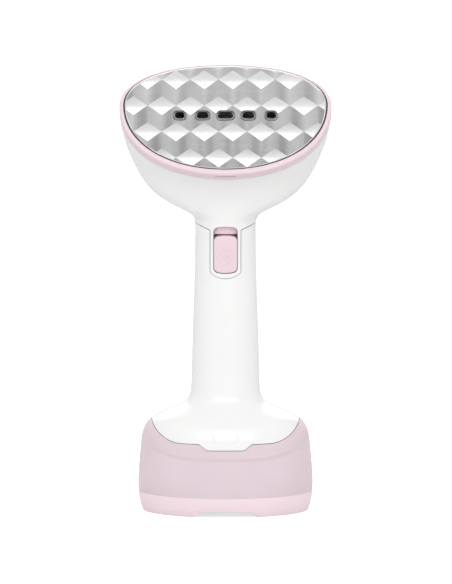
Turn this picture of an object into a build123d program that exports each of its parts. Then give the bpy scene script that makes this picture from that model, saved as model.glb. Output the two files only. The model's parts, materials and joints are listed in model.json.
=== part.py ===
"""Handheld garment steamer standing on its water tank, in millimetres.

+Z is up, -Y is the front, where the steam plate and the trigger are, and the origin is the middle of
the foot on the table. The handset lifts off the tank along +Z.
"""

from build123d import *
import os
from math import cos, radians, sin, sqrt, tan

os.makedirs("parts", exist_ok=True)

# ---------------------------------------------------------------- driving dimensions
WALL = 2.2                    # housing and tank walls
SEAM = 0.3                    # gap between two housing shells
ROUND = 0.5523                # Bezier handle that makes a quarter ellipse
REGION, REGION_LOW, REGION_TOP = 120, -20, 330   # reach of the regions that split the body
LEAN_LIMIT = 0.36             # least share of a wall's thickness across a steeply sloping section
BEND_SHARE = 0.45             # share of a hose's shorter run that its bend may take
RUNNING = 0.06                # clearance of a pin that turns in its hole
FULL_UP, FULL_DOWN = 0.615, 0.585   # squarer handles of the plate's outline, above and below its widest line

# Height, half width, front and back depth of the level outlines from the table to the neck.
LEVELS = [
    (0, 48.2, 40.0, 40.0), (4, 49.9, 41.8, 41.8), (11, 51.0, 43.0, 43.0), (24, 50.9, 42.9, 42.9),
    (36, 49.9, 42.0, 42.0), (44, 49.0, 41.2, 41.2), (50, 47.0, 39.4, 39.4), (54.5, 42.8, 36.2, 36.2),
    (57.5, 37.2, 32.2, 32.6), (60.2, 30.8, 28.0, 29.0), (63, 25.2, 24.2, 25.6), (66.5, 21.6, 21.6, 22.8),
    (72, 20.3, 20.4, 21.4), (90, 19.7, 19.8, 20.6), (125, 18.6, 19.0, 19.6), (153, 18.0, 18.6, 19.0),
]
# The head's outlines stand on planes that fan out of one line in front of the neck: the plane's angle,
# the distances from that line to chin, widest line and crown, and the half width.
FAN_Y, FAN_Z = -57.0, 166.5
FAN = [
    (0, 38.4, 57.0, 75.8, 17.8), (6, 38.3, 57.5, 76.3, 18.7), (12, 38.3, 59.5, 78.0, 26.0),
    (18, 38.4, 62.5, 81.0, 38.1), (25, 38.5, 66.0, 85.5, 46.9), (32, 38.7, 71.0, 92.0, 52.6),
    (40, 38.9, 77.0, 100.3, 57.4), (48, 39.0, 81.5, 107.5, 60.6), (55, 39.1, 84.8, 112.6, 62.0),
]
PLATE_ANGLE, _, PLATE_REACH, *_ = FAN[-1]

# Plate outlines: half width, rise above and drop below the widest line.
RING_SIZE = (62.0, 27.8, 45.7)
OPENING_SIZE = (59.8, 26.4, 42.65)
PLATE_SIZE = (58.9, 26.0, 42.3)
PLATE_FIT, PLATE_ROUND = 0.05, 1.0
RING_DEPTH = 6.6              # depth of the pink surround, from its face to the head shell
RING_ROUND, LIP_DEPTH, LIP_GAP, LEDGE = 1.6, 2.6, 1.3, 3.0
SEAL_IN, SEAL_FRONT = 2.6, -0.4
DEEP, OVER = -20, 1           # levels behind and in front of the plate where cuts end
PLATE_PROUD, PLATE_BACK, SEAL_BACK = 0.8, -2.7, -3.9     # measured from the surround's face
OUTLET_X = (-26.7, -13.35, 0, 13.35, 26.7)
OUTLET_LENGTH = (5.6, 6.9, 8.8, 6.9, 5.6)
OUTLET_HEIGHT, OUTLET_WALL, OUTLET_DROP = 4.5, 1.2, -6.8
OUTLET_GAP, OUTLET_PROUD = 0.1, 0.35
SLOT_WIDTH, SLOT_DEPTH, SLOT_TALL = 12.7, 1.2, 1.1       # accessory slot under the surround

BOILER_SIZE = (46.0, 19.0, 31.0)
BOILER_BACK, CHAMBER_BACK, BOILER_RIM = -16.0, -10.0, 3.0
EAR_PLACES = ((-47.5, -4), (47.5, -4), (-23, -29.2), (23, -29.2), (-38, 12), (38, 12))
EAR_RADIUS, EAR_BACK, EAR_HEAD = 4.0, -8.0, 2.6
SCREW_DEEP, HEAD_TALL, HEX, DRIVE_DEEP = 2.2, 1.8, 1.3, 1.0      # threads in the plate, and screw heads
BAFFLE_X, BAFFLE_RISE, BAFFLE_THICK, BAFFLE_LONG = (-20, 20), 6, 1.6, 22
HEATER_RADIUS, HEATER_HALF, HEATER_START, HEATER_RUN, HEATER_DROP = 3.3, 12.0, -24.0, 22.0, -6.0
TERMINAL_RADIUS, TERMINAL_LONG = 1.2, 16
INLET_X, INLET_DROP = 6.0, -26.0
INLET_FLANGE, INLET_THICK, INLET_STEM, INLET_BARB, INLET_BORE = 3.4, 1.5, 1.95, 8, 0.8
THERMOSTAT = ((8.0, -4.0, 0.0), (6.4, -6.0, -4.0))       # radius and levels behind the boiler
TAB_X, TAB_SIZE, TAB_LEVEL = (-4, 4), (0.8, 5, 3.4), -7
FUSE_X, FUSE_LEVEL, FUSE_RADIUS, FUSE_LONG, LEAD_RADIUS, LEAD_LONG = 19, -2, 2.0, 11, 0.5, 18
FUSE_CLIP = (5, 9, 1)
STRAP_FRONT, STRAP_BACK, STRAP_DROP, STRAP_HALF, STRAP_TALL = -26.0, -27.2, -5.0, 44.0, 12.0
STRAP_PLACES = ((-30.0, -5.0), (30.0, -5.0))
STRAP_POST, STRAP_DEEP, STRAP_HEAD = 3.2, 11, 2.4

# Tank and handset meet along curves seen from the front: height of the flat middle, half length of that
# and radius of the rise at each side.
RIM = (43.0, 26.0, 19.4)
RIM_GAP = 0.4                 # handset to tank rim
ROOF = (33.0, 20.0, 52.0)     # underside of the tank's roof
ROOF_THICK = 1.6
TAB_HALF, TAB_SLOPE, TAB_DROP = 10.9, 4.7, 3.5   # tab of the handset in the tank's rim
FOOT_TOP = 11.5
FOOT_FLOOR = (4.0, 6.0)
NOTCH_LOW, NOTCH_HIGH, NOTCH_RISE = 18.2, 15.0, 3.7      # arch under the foot: half widths and height
SOCKET_WALL = 1.4             # round the sockets of the foot pads
PAD_PLACES = ((-29, -20), (29, -20), (-29, 20), (29, 20))
PAD_RADIUS, PAD_TALL = 4.6, 2.5

WELL_LENGTH, WELL_DEPTH, WELL_Y, WELL_RADIUS = 41.0, 34.0, 3.0, 7.0   # well that the handset's plug fills
WELL_FLOOR, WELL_WALL = 15.0, 1.8
PLUG_GAP, COVER_GAP, COVER_WALL, FLANGE = 0.6, 0.5, 1.8, 1.4
SKIRT_HALF, SKIRT_DEPTH, SKIRT_FULL = 41.6, 38.1, 0.6    # outline of the handset's underside

INTAKE_Y = -26.0              # water intake, in front of the well
COLLAR_HOLE, NIPPLE_HOLE = 6.0, 2.9
COLLAR_OUTLINE = [(3.6, 35), (5.9, 35), (5.9, 33), (7.35, 33), (5.85, 27), (3.0, 27), (3.0, 29.2),
                  (3.6, 29.2), (3.6, 35)]
PICKUP_RADIUS, PICKUP_BORE, PICKUP_LOW, PICKUP_TOP = 3.0, 2.0, 7.5, 29.2
ORING_RADIUS, ORING_WIRE, ORING_Z = 2.9, 0.6, 31.6
FILLER_Z, FILLER_BORE, FILLER_IN, CAP_RADIUS, CAP_FACE = 23.9, 6.0, 30, 8.4, 40.4
CAP_BACK, PLUG_END = 41.2, 38.6
CAP_GAP, ARM_HALF, ARM_SLOT = 0.6, 3.0, 4.2      # room round the cap, and half widths of its arm and slot
ARM_TOP, ARM_CUT, ARM_CUT_TOP = 17, 39.5, 16.4
HINGE_Y, HINGE_Z, HINGE_PIN, HINGE_EYE = 41.5, 13.9, 0.8, 1.6
HINGE_BLOCK = ((-7.5, 7.5), (35.5, 40.8), (FOOT_TOP, 17))
HINGE_HOLE, PIN_LONG = 11, 10.6

TONGUE_HALF, TONGUE_TOP, TONGUE_LOW, TONGUE_END, COLLAR_SLOPE = 8.9, 166.7, 141.8, 138.4, 0.38
SLOT_HALF, SLOT_LOW, SLOT_HIGH = 7.15, 141.1, 169.0
BUTTON_HALF, BUTTON_LOW, BUTTON_HIGH, BUTTON_BACK, BUTTON_FRONT = 6.85, 141.4, 163.6, -13.8, 18.7
CARRIER_HALF, CARRIER_LOW, CARRIER_HIGH, CARRIER_BACK = 8.8, 139.2, 170.4, -7.5
PIVOT_Y, PIVOT_Z, PIVOT_PIN = -12.4, 144.2, 1.2
CARRIER_GAP, CARRIER_WALL, CARRIER_BORE = 0.7, 2.0, 7.2
PLUNGER_WINDOW = ((-2.4, 2.4), (-10, -5), (146.5, 156.3))
BUTTON_HOLLOW = ((-5.2, 5.2), (-17.4, -10), (146.3, 162))
BUTTON_ROUND = 0.8
PLUNGER = ((-1.6, 1.6), (-17.8, -4.4), (148.5, 154))
PIVOT_BAR = ((-14.5, -11.6), (142.3, 146.1))
TRIGGER_SWING = 6.2           # degrees, from rest to flush with the handle
SPRING_Z, SPRING_RADIUS, SPRING_WIRE = 159.5, 2.0, 0.3
SPRING_Y, SPRING_PITCH, SPRING_LONG = -17.0, 1.5, 7.5

PUMP_RADIUS, PUMP_SPLIT, PUMP_TOP, PUMP_ROUND = 12.0, 45.0, 57.0, 1.5
PORT_Z, PORT_LONG, PORT_IN, OUTLET_PORT = 50.0, 5, 2, (7.0, WELL_Y)
HOSE_RADIUS, HOSE_BORE, BARB = 2.5, 1.5, 1.45
NIPPLE_OUTLINE = [(1.0, 29.9), (2.5, 29.9), (2.85, 30.3), (2.85, 31.0), (2.3, 31.0), (2.3, 32.2),
                  (2.85, 32.2), (2.85, 36.9), (5.0, 36.9), (5.0, 38.1), (BARB, 38.1), (BARB, 43.0),
                  (1.0, 43.0), (1.0, 29.9)]
HOSE_CLEAR = 0.3              # between a hose's end and the part it is pushed on
HOSE_WAY = [(11.5, 3, 84), (11.5, 4.5, 104), (6.4, 12, 122), (6.4, 12, 170), (INLET_X, 9.5, 186)]
HOSE_RISE, HOSE_LEAD = 70, -18
BOARD_X, BOARD_Y, BOARD_LOW, BOARD_HIGH = -3.0, -3.0, 88.0, 129.0
BOARD_WIDE, BOARD_THICK = 20.0, 1.6
BOARD_POSTS, BOARD_POST, BOARD_PILOT, BOARD_HOLE, BOARD_DEEP = (91.5, 125.5), 2.4, 0.9, 1.0, 8
BOARD_HEAD, BOARD_HEAD_TALL, BOARD_SHANK = 1.9, 1.5, 0.85
BLOCKS = [((-10.5, -1.5), (-11.5, BOARD_Y), (96, 111)), ((0, 6), (-9.5, BOARD_Y), (96, 106)),
          ((-11.5, 5.5), (-10, BOARD_Y), (114.5, 121.5))]
CAPACITOR = (3, 110, -12, BOARD_Y, 2.9)
BRACKET_POSTS, BRACKET_POST = (144.0, 163.0), 2.2
BRACKET_HALF, BRACKET_Y, BRACKET_Z = 10.8, (-8, 9.4), (141, 167)
BRACKET_SIDE, BRACKET_BACK = 1.5, 1.6
SWITCH_LOW, SWITCH_HIGH, SWITCH_HALF, SWITCH_Y = 146.5, 162.5, 3.2, (-2.2, 7.8)
SWITCH_BUTTON = ((-1.2, 1.2), (-2.9, -2.0), (150, 152.5))
SWITCH_PINS, PIN_WIDE, PIN_HALF, PIN_DOWN, PIN_IN = (0, 2.8, 5.6), 1.4, 0.25, 4, 0.5
GLAND_Z, CABLE_BORE, GLAND_RADIUS, GLAND_IN, GLAND_OUT = 80.0, 3.6, 6.0, 12.0, 23.0
GLAND_SEAT, GLAND_STEM, GLAND_LIP, GLAND_ROUND, GLAND_FIT = 14, 21, 2.2, 1.2, 0.1
SCREW_PLACES = ((-26, 51.5), (26, 51.5), (0, 68.0), (0, 134.5))    # housing screws, X and Z
POST_RADIUS, RECESS, HEAD_Y, PILOT, SHANK = 2.8, 2.5, 8.0, 1.3, 1.2
POST_DEEP, CROSS_LONG, CROSS_WIDE = 9, 2.6, 0.7
SEAM_Y, SEAM_TURN = -6.0, 160
SEAM_SWEEP = ((5.5, 182), (11.5, 206), (13, 236))        # the side seam's way back over the head

# The steam plate's frame: X across, Y up the plate, Z out of it.
_turn = radians(PLATE_ANGLE)
RING_BACK = Plane(
    origin=(0, FAN_Y + PLATE_REACH * cos(_turn), FAN_Z + PLATE_REACH * sin(_turn)),
    x_dir=(1, 0, 0), z_dir=(0, -sin(_turn), cos(_turn)),
)
FACE = RING_BACK.offset(RING_DEPTH)


# ---------------------------------------------------------------- outlines, regions and small helpers
def save(builder, name):
    """Labels the finished piece and writes it as one STEP file."""
    builder.part.label = name
    export_step(builder.part, f"parts/{name}.step")


def egg(size, grow=0.0, level=0.0):
    """The plate's outline on the plate's own frame, `grow` wider all round and `level` out of its face."""
    half, up, down = (value + grow for value in size)
    with BuildSketch() as sketch:
        with BuildLine():
            Bezier((0, -down), (half * FULL_DOWN, -down), (half, -down * FULL_DOWN), (half, 0))
            Bezier((half, 0), (half, up * FULL_UP), (half * FULL_UP, up), (0, up))
            Bezier((0, up), (-half * FULL_UP, up), (-half, up * FULL_UP), (-half, 0))
            Bezier((-half, 0), (-half, -down * FULL_DOWN), (-half * FULL_DOWN, -down), (0, -down))
        make_face()
    return FACE.offset(level) * sketch.sketch


def slab(size, low, high, grow=0.0):
    """A plate of that outline between two levels of the plate's frame."""
    return extrude(egg(size, grow, low), amount=high - low, mode=Mode.PRIVATE)


def body_sections():
    """Every outline of the body, as plane, half width, front, back and the two Bezier handles."""
    found = [(Plane.XY.offset(z), half, front, back, ROUND, ROUND) for z, half, front, back in LEVELS]
    for angle, chin, middle, crown, half in FAN:
        c, s = cos(radians(angle)), sin(radians(angle))
        plane = Plane(origin=(0, FAN_Y + middle * c, FAN_Z + middle * s), x_dir=(1, 0, 0), z_dir=(0, -s, c))
        share = angle / PLATE_ANGLE
        down = ROUND + (FULL_DOWN - ROUND) * share
        up = ROUND + (FULL_UP - ROUND) * share
        found.append((plane, half, middle - chin, crown - middle, down, up))
    return found


def in_plane(wall, before, after, outward):
    """How far a wall of that thickness reaches along its section's plane where the surface slopes."""
    lean = (after - before).normalized().dot(outward)
    return wall / max(sqrt(max(1 - lean * lean, 0)), LEAN_LIMIT)


def half_section(plane, half, front, back, down, up):
    """The +X half of one outline."""
    with BuildSketch() as sketch:
        with BuildLine():
            Bezier((0, -front), (half * down, -front), (half, -front * down), (half, 0))
            Bezier((half, 0), (half, back * up), (half * up, back), (0, back))
            Line((0, back), (0, -front))
        make_face()
    return plane * sketch.sketch


def envelope(inset):
    """The body's outside as one solid, or the same form `inset` inside it."""
    sections = body_sections()
    side = [plane.from_local_coords(Vector(half, 0, 0)) for plane, half, *_ in sections]
    front = [plane.from_local_coords(Vector(0, -s[0], 0)) for plane, _, *s in sections]
    back = [plane.from_local_coords(Vector(0, s[1], 0)) for plane, _, *s in sections]
    faces = []
    for i, (plane, half, low, high, down, up) in enumerate(sections):
        a, b = max(i - 1, 0), min(i + 1, len(sections) - 1)
        if inset:
            half -= in_plane(inset, side[a], side[b], plane.x_dir)
            low -= in_plane(inset, front[a], front[b], plane.y_dir)
            high -= in_plane(inset, back[a], back[b], plane.y_dir)
        faces.append(half_section(plane, half, low, high, down, up))
    with BuildPart() as solid:
        loft(faces)
        mirror(about=Plane.YZ)
    return solid.part


def above(level, rise=0.0, tab=False):
    """Everything over a curve seen from the front: flat in the middle, turning up at both sides."""
    height, flat, radius = level[0] + rise, level[1], level[2] - rise
    far, end, wide, top = flat + radius, level[0] + level[2], REGION, REGION_TOP
    with BuildSketch(Plane.XZ) as sketch:
        with BuildLine():
            if tab:
                foot, shoulder = TAB_HALF, TAB_HALF + TAB_SLOPE
                Polyline((-flat, height), (-shoulder, height), (-foot, height - TAB_DROP),
                         (foot, height - TAB_DROP), (shoulder, height), (flat, height))
            else:
                Line((-flat, height), (flat, height))
            RadiusArc((flat, height), (far, end), -radius)
            Polyline((far, end), (far, end + 1), (wide, end + 1), (wide, top), (-wide, top),
                     (-wide, end + 1), (-far, end + 1), (-far, end))
            RadiusArc((-far, end), (-flat, height), -radius)
        make_face()
    with BuildPart() as region:
        extrude(sketch.sketch, amount=REGION, both=True)
    return region.part


def behind_seam(gap):
    """Everything behind the side seam, which runs up the handle and sweeps back over the head."""
    front = SEAM_Y + gap
    way = [(y + gap, z) for y, z in SEAM_SWEEP]
    with BuildSketch(Plane.YZ) as sketch:
        with BuildLine():
            Line((front, REGION_LOW), (front, SEAM_TURN))
            Spline((front, SEAM_TURN), *way, tangents=((0, 1), (0, 1)))
            Polyline(way[-1], (way[-1][0], REGION_TOP), (REGION, REGION_TOP), (REGION, REGION_LOW),
                     (front, REGION_LOW))
        make_face()
    with BuildPart() as region:
        extrude(sketch.sketch, amount=REGION, both=True)
    return region.part


def head_region(grow):
    """The head shell's share of the front, with the tongue that runs down round the trigger."""
    half, line, wide, top = TONGUE_HALF + grow, TONGUE_TOP - grow, REGION, REGION_TOP
    rise = line + COLLAR_SLOPE * (wide - half)
    with BuildSketch(Plane.XZ) as sketch:
        with BuildLine():
            ThreePointArc((-half, TONGUE_LOW), (0, TONGUE_END - grow), (half, TONGUE_LOW))
            Polyline((half, TONGUE_LOW), (half, line), (wide, rise), (wide, top), (-wide, top),
                     (-wide, rise), (-half, line), (-half, TONGUE_LOW))
        make_face()
    with BuildPart() as region:
        extrude(sketch.sketch, amount=REGION, both=True)
    return region.part


def arched(half, low, high, y_from, y_to, bulge=1.2, radius=3.0):
    """A block along Y with an upright rounded outline and gently arched ends."""
    with BuildPart() as block:
        with BuildSketch(Plane.XZ.offset(-y_from)) as sketch:
            with BuildLine():
                Line((-half, low + bulge), (-half, high - bulge))
                ThreePointArc((-half, high - bulge), (0, high), (half, high - bulge))
                Line((half, high - bulge), (half, low + bulge))
                ThreePointArc((half, low + bulge), (0, low), (-half, low + bulge))
            make_face()
            fillet(sketch.vertices(), radius)
        extrude(amount=y_from - y_to)
    return block.part


def post(x, z, y_from, y_to, radius):
    """A round bar along Y."""
    with BuildPart() as bar:
        with BuildSketch(Plane.XZ.offset(-y_from)):
            with Locations((x, z)):
                Circle(radius)
        extrude(amount=y_from - y_to)
    return bar.part


def plate_post(places, low, high, radius):
    """Round bars square to the steam plate, between two levels of its frame."""
    with BuildPart() as bars:
        with BuildSketch(FACE.offset(low)):
            with Locations(*places):
                Circle(radius)
        extrude(amount=high - low)
    return bars.part


def box(x_range, y_range, z_range):
    """A plain block between those limits."""
    size = [b - a for a, b in (x_range, y_range, z_range)]
    middle = [(a + b) / 2 for a, b in (x_range, y_range, z_range)]
    return Pos(*middle) * Box(*size, mode=Mode.PRIVATE)


def tube(points, radius, bore):
    """A hose along straight runs with wide arcs at their corners."""
    turns = []
    for a, b, c in zip(points, points[1:], points[2:]):
        first, second = Vector(*b) - Vector(*a), Vector(*c) - Vector(*b)
        shorter = min(first.length, second.length)
        turns.append(BEND_SHARE * shorter / tan(radians(first.get_angle(second)) / 2))
    with BuildPart() as hose:
        with BuildLine() as path:
            FilletPolyline(*points, radius=turns)
        with BuildSketch(Plane(origin=path.line @ 0, z_dir=path.line % 0)):
            Circle(radius)
            Circle(bore, mode=Mode.SUBTRACT)
        sweep(path=path.line)
    return hose.part


def heater_bar(start, radius):
    """The heater's U on the back of the boiler, with straight legs from `start`."""
    far, low, high = HEATER_RUN, HEATER_DROP - HEATER_HALF, HEATER_DROP + HEATER_HALF
    with BuildPart() as bar:
        with BuildLine(FACE.offset(BOILER_BACK)) as path:
            Line((start, high), (far, high))
            ThreePointArc((far, high), (far + HEATER_HALF, HEATER_DROP), (far, low))
            Line((far, low), (start, low))
        with BuildSketch(Plane(origin=path.wires()[0] @ 0, z_dir=path.wires()[0] % 0)):
            Circle(radius)
        sweep(path=path.wires()[0])
    return bar.part


outer = envelope(0)
inner = envelope(WALL)
half_wall = envelope(WALL / 2)
skin = outer - inner
handset_side = above(RIM, rise=RIM_GAP, tab=True)
front_side = behind_seam(-SEAM / 2)
rear_side = behind_seam(SEAM / 2)

# ---------------------------------------------------------------- water tank
with BuildPart() as tank_shell:
    add(skin)
    with Locations((0, 0, FOOT_TOP)):
        Box(REGION, REGION, REGION, align=(Align.CENTER, Align.CENTER, Align.MIN), mode=Mode.INTERSECT)
    add(above(RIM, tab=True), mode=Mode.SUBTRACT)
    # Roof under the handset, let into the wall by half its thickness.
    add((above(ROOF) - above(ROOF, rise=ROOF_THICK)) & half_wall)
    # Well that the handset's plug stands in.
    with BuildSketch(Plane.XY.offset(WELL_FLOOR)):
        with Locations((0, WELL_Y)):
            RectangleRounded(WELL_LENGTH, WELL_DEPTH, WELL_RADIUS)
    extrude(amount=ROOF[0] + ROOF_THICK / 2 - WELL_FLOOR)
    with BuildSketch(Plane.XY.offset(WELL_FLOOR + WELL_WALL)):
        with Locations((0, WELL_Y)):
            RectangleRounded(WELL_LENGTH - 2 * WELL_WALL, WELL_DEPTH - 2 * WELL_WALL, WELL_RADIUS - WELL_WALL)
    extrude(amount=REGION, mode=Mode.SUBTRACT)
    # Hole for the intake collar.
    with BuildSketch(Plane.XY.offset(ROOF[0] - ROOF_THICK)):
        with Locations((0, INTAKE_Y)):
            Circle(COLLAR_HOLE)
    extrude(amount=3 * ROOF_THICK, mode=Mode.SUBTRACT)
    # Filler: a boss and a hinge block inside the back wall, with a seat for the cap and a slot for its arm.
    add(post(0, FILLER_Z, HINGE_BLOCK[1][0], REGION, CAP_RADIUS + WALL) & half_wall)
    add(box(*HINGE_BLOCK))
    add(post(0, FILLER_Z, CAP_FACE, REGION, CAP_RADIUS + CAP_GAP), mode=Mode.SUBTRACT)
    add(post(0, FILLER_Z, FILLER_IN, REGION, FILLER_BORE), mode=Mode.SUBTRACT)
    add(box((-ARM_SLOT, ARM_SLOT), (ARM_CUT, REGION), (FOOT_TOP - OVER, ARM_CUT_TOP)), mode=Mode.SUBTRACT)
    with Locations((0, HINGE_Y, HINGE_Z)):
        Cylinder(HINGE_PIN, HINGE_HOLE, rotation=(0, 90, 0), mode=Mode.SUBTRACT)
save(tank_shell, "tank_shell")

with BuildPart() as tank_foot:
    add(skin)
    with Locations((0, 0, FOOT_TOP)):
        Box(REGION, REGION, REGION, align=(Align.CENTER, Align.CENTER, Align.MAX), mode=Mode.INTERSECT)
    add(box((-REGION, REGION), (-REGION, REGION), FOOT_FLOOR) & half_wall)
    with Locations(*[(x, y, FOOT_FLOOR[0]) for x, y in PAD_PLACES]):
        Cylinder(PAD_RADIUS + SOCKET_WALL, FOOT_FLOOR[0] - PAD_TALL,
                 align=(Align.CENTER, Align.CENTER, Align.MAX))
    with BuildSketch(Plane.XZ):
        Polygon((-NOTCH_LOW, -OVER), (NOTCH_LOW, -OVER), (NOTCH_LOW, 0), (NOTCH_HIGH, NOTCH_RISE),
                (-NOTCH_HIGH, NOTCH_RISE), (-NOTCH_LOW, 0), align=None)
    extrude(amount=REGION, both=True, mode=Mode.SUBTRACT)
save(tank_foot, "tank_foot")

with BuildPart() as foot_pads:
    with Locations(*[(x, y, 0) for x, y in PAD_PLACES]):
        Cylinder(PAD_RADIUS, PAD_TALL, align=(Align.CENTER, Align.CENTER, Align.MIN))
    chamfer(foot_pads.edges().group_by(Axis.Z)[0], 0.4)
save(foot_pads, "foot_pads")

with BuildPart() as filler_cap:
    add(post(0, FILLER_Z, CAP_BACK, REGION, CAP_RADIUS) & outer)
    add(box((-ARM_HALF, ARM_HALF), (CAP_BACK, REGION), (HINGE_Z, ARM_TOP)) & outer)
    with Locations((0, HINGE_Y, HINGE_Z)):
        Cylinder(HINGE_EYE, 2 * ARM_HALF, rotation=(0, 90, 0))
        Cylinder(HINGE_PIN + RUNNING, 2 * ARM_HALF, rotation=(0, 90, 0), mode=Mode.SUBTRACT)
save(filler_cap, "filler_cap")

with BuildPart() as filler_plug:
    add(post(0, FILLER_Z, CAP_FACE + 0.1, CAP_BACK, CAP_RADIUS - CAP_GAP))
    add(post(0, FILLER_Z, PLUG_END, CAP_FACE + 0.1, FILLER_BORE - 0.3))
    chamfer(filler_plug.faces().sort_by(Axis.Y)[0].edges(), 0.4)
save(filler_plug, "filler_plug")

with BuildPart() as hinge_pin:
    with Locations((0, HINGE_Y, HINGE_Z)):
        Cylinder(HINGE_PIN, PIN_LONG, rotation=(0, 90, 0))
save(hinge_pin, "hinge_pin")

with BuildPart() as intake_collar:
    with BuildSketch(Plane.XZ.offset(-INTAKE_Y)):
        with BuildLine():
            Polyline(*COLLAR_OUTLINE)
        make_face()
    revolve(axis=Axis((0, INTAKE_Y, 0), (0, 0, 1)))
save(intake_collar, "intake_collar")

with BuildPart() as pickup_tube:
    with BuildSketch(Plane.XY.offset(PICKUP_LOW)):
        with Locations((0, INTAKE_Y)):
            Circle(PICKUP_RADIUS)
            Circle(PICKUP_BORE, mode=Mode.SUBTRACT)
    extrude(amount=PICKUP_TOP - PICKUP_LOW)
save(pickup_tube, "pickup_tube")

# ---------------------------------------------------------------- handset housing
with BuildPart() as front_cover:
    add(skin & handset_side)
    add(front_side, mode=Mode.SUBTRACT)
    add(head_region(SEAM), mode=Mode.SUBTRACT)
    for x, z in SCREW_PLACES:
        add(post(x, z, -REGION, SEAM_Y - SEAM / 2, POST_RADIUS) & half_wall)
        add(post(x, z, SEAM_Y - POST_DEEP, SEAM_Y + OVER, PILOT), mode=Mode.SUBTRACT)
save(front_cover, "front_cover")

with BuildPart() as rear_shell:
    add(skin & handset_side & rear_side)
    for x, z in SCREW_PLACES:
        add(post(x, z, SEAM_Y + SEAM / 2, REGION, RECESS + 1.0) & half_wall)
        add(post(x, z, HEAD_Y, REGION, RECESS), mode=Mode.SUBTRACT)
        add(post(x, z, SEAM_Y - OVER, REGION, SHANK + 0.3), mode=Mode.SUBTRACT)
    # Posts for the circuit board and for the switch bracket.
    for z in BOARD_POSTS:
        add(post(BOARD_X, z, BOARD_Y + BOARD_THICK, REGION, BOARD_POST) & half_wall)
        add(post(BOARD_X, z, BOARD_Y, BOARD_Y + BOARD_DEEP, BOARD_PILOT), mode=Mode.SUBTRACT)
    for z in BRACKET_POSTS:
        add(post(0, z, BRACKET_Y[1], REGION, BRACKET_POST) & half_wall)
    # Hole for the cord gland.
    add(post(0, GLAND_Z, GLAND_IN - OVER, REGION, GLAND_RADIUS + GLAND_FIT), mode=Mode.SUBTRACT)
    # Posts that carry the boiler's strap.
    add(plate_post(STRAP_PLACES, -REGION, STRAP_BACK, STRAP_POST) & half_wall)
    add(plate_post(STRAP_PLACES, STRAP_BACK - STRAP_DEEP, STRAP_BACK, PILOT), mode=Mode.SUBTRACT)
save(rear_shell, "rear_shell")

with BuildPart() as head_shell:
    add(skin & head_region(0))
    add(front_side, mode=Mode.SUBTRACT)
    add(arched(SLOT_HALF, SLOT_LOW, SLOT_HIGH, 0, -REGION), mode=Mode.SUBTRACT)
save(head_shell, "head_shell")

# Underside of the handset: a skirt that stands inside the tank's rim, a flange between it and the housing,
# and a hollow plug for the tank's well.
with BuildPart() as skirt_block:
    with BuildSketch():
        with BuildLine():
            Bezier((0, -SKIRT_DEPTH), (SKIRT_HALF * SKIRT_FULL, -SKIRT_DEPTH),
                   (SKIRT_HALF, -SKIRT_DEPTH * SKIRT_FULL), (SKIRT_HALF, 0))
            mirror(about=Plane.XZ)
            mirror(about=Plane.YZ)
        make_face()
    extrude(amount=REGION)

PLUG_LENGTH = WELL_LENGTH - 2 * (WELL_WALL + PLUG_GAP)
PLUG_DEPTH = WELL_DEPTH - 2 * (WELL_WALL + PLUG_GAP)
PLUG_FLOOR = WELL_FLOOR + WELL_WALL + COVER_GAP
PLUG_RADIUS = WELL_RADIUS - WELL_WALL - PLUG_GAP
cover_rise = ROOF_THICK + COVER_GAP
room = envelope(WALL + SEAM)
flange = (above(RIM, rise=RIM_GAP) - above(RIM, rise=RIM_GAP + FLANGE)) & room
dish = skirt_block.part & above(ROOF, rise=cover_rise) & room
dish -= above(RIM, rise=RIM_GAP + FLANGE)
dish_hollow = offset(skirt_block.part, amount=-COVER_WALL) & above(ROOF, rise=cover_rise + COVER_WALL)

with BuildPart() as base_cover:
    add(flange)
    add(dish)
    with BuildSketch(Plane.XY.offset(PLUG_FLOOR)):
        with Locations((0, WELL_Y)):
            RectangleRounded(PLUG_LENGTH, PLUG_DEPTH, PLUG_RADIUS)
    extrude(amount=ROOF[0] + cover_rise + COVER_WALL / 2 - PLUG_FLOOR)
    add(dish_hollow, mode=Mode.SUBTRACT)
    with BuildSketch(Plane.XY.offset(PLUG_FLOOR + COVER_WALL)):
        with Locations((0, WELL_Y)):
            RectangleRounded(PLUG_LENGTH - 2 * COVER_WALL, PLUG_DEPTH - 2 * COVER_WALL,
                             PLUG_RADIUS - COVER_WALL)
    extrude(amount=REGION, mode=Mode.SUBTRACT)
    with BuildSketch(Plane.XY.offset(ROOF[0])):
        with Locations((0, INTAKE_Y)):
            Circle(NIPPLE_HOLE)
    extrude(amount=4 * COVER_WALL, mode=Mode.SUBTRACT)
save(base_cover, "base_cover")

# ---------------------------------------------------------------- steam head
with BuildPart() as plate_ring:
    add(slab(RING_SIZE, -RING_DEPTH + SEAM, 0))
    fillet(plate_ring.edges().group_by(Axis((0, 0, 0), FACE.z_dir))[-1], RING_ROUND)
    add(slab(OPENING_SIZE, SEAL_BACK, OVER), mode=Mode.SUBTRACT)
    # Lip inside the head shell, and the ledge behind the plate's seal.
    add(slab(RING_SIZE, -RING_DEPTH - LIP_DEPTH, -RING_DEPTH + SEAM, grow=-WALL - LIP_GAP))
    add(slab(PLATE_SIZE, DEEP, OVER, grow=-LEDGE), mode=Mode.SUBTRACT)
    with Locations(FACE.offset(-RING_DEPTH / 2) * Location((0, -RING_SIZE[2], 0))):
        Box(SLOT_WIDTH, 2 * SLOT_DEPTH, SLOT_TALL, mode=Mode.SUBTRACT)
save(plate_ring, "plate_ring")

with BuildPart() as plate_seal:
    add(slab(OPENING_SIZE, SEAL_BACK, SEAL_FRONT, grow=-PLATE_FIT))
    add(slab(PLATE_SIZE, PLATE_BACK, OVER), mode=Mode.SUBTRACT)
    add(slab(PLATE_SIZE, DEEP, OVER, grow=-SEAL_IN), mode=Mode.SUBTRACT)
save(plate_seal, "plate_seal")

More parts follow.
